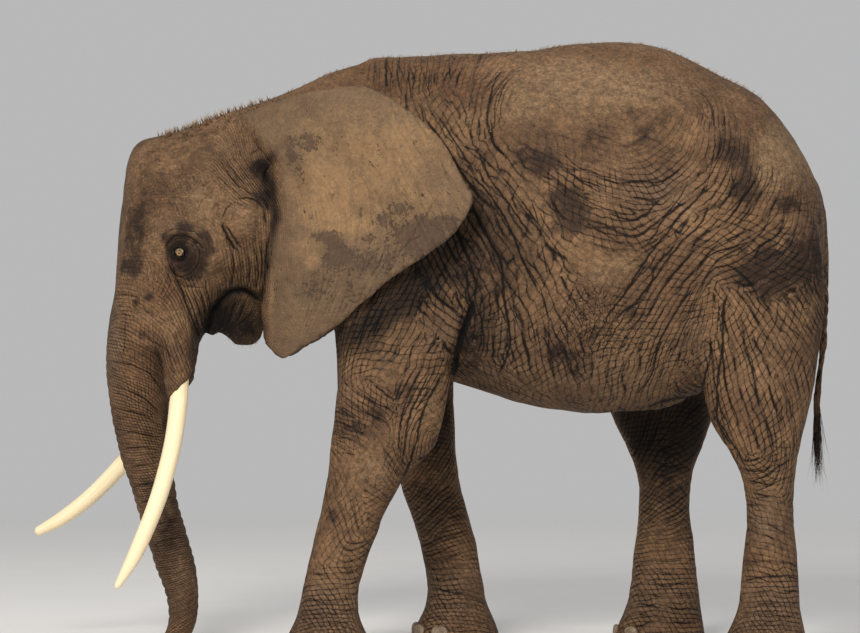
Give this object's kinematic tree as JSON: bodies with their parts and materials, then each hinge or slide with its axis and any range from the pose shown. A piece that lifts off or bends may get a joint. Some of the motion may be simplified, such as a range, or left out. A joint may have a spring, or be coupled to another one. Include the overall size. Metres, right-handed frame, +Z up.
{
  "type": "elephant",
  "caption": "Life-size standing African elephant cow in mid-stride, head lowered, trunk hanging, with slender tusks and spread ears.",
  "frame": {"origin": "on the ground, under the middle of the whole animal's box", "axes": "-X is where the head points, +X the tail, -Y the animal's left side, +Z up"},
  "size_m": [3.405, 1.251, 2.5596],
  "materials": {
    "skin": "dry, deeply wrinkled hide with dust and dark damp patches",
    "ivory": "smooth, satin tusk ivory, browner at the root",
    "eye": "wet, glossy eyeball with an amber iris",
    "nail": "horny toenail, pale and faintly ridged",
    "hair": "stiff black tail hair"
  },
  "bodies": {
    "root": {"ear_left": "skin", "ear_right": "skin", "eye_left": "eye", "eye_right": "eye", "foreleg_left_foot": "skin", "foreleg_left_lower": "skin", "foreleg_left_upper": "skin", "foreleg_right_foot": "skin", "foreleg_right_lower": "skin", "foreleg_right_upper": "skin", "head": "skin", "hindleg_left_foot": "skin", "hindleg_left_lower": "skin", "hindleg_left_upper": "skin", "hindleg_right_foot": "skin", "hindleg_right_lower": "skin", "hindleg_right_upper": "skin", "jaw": "skin", "neck": "skin", "tail": "skin", "tail_tuft": "hair", "torso": "skin", "trunk_middle": "skin", "trunk_tip": "skin", "trunk_upper": "skin", "tusk_left": "ivory", "tusk_right": "ivory"}
  },
  "joints": []
}
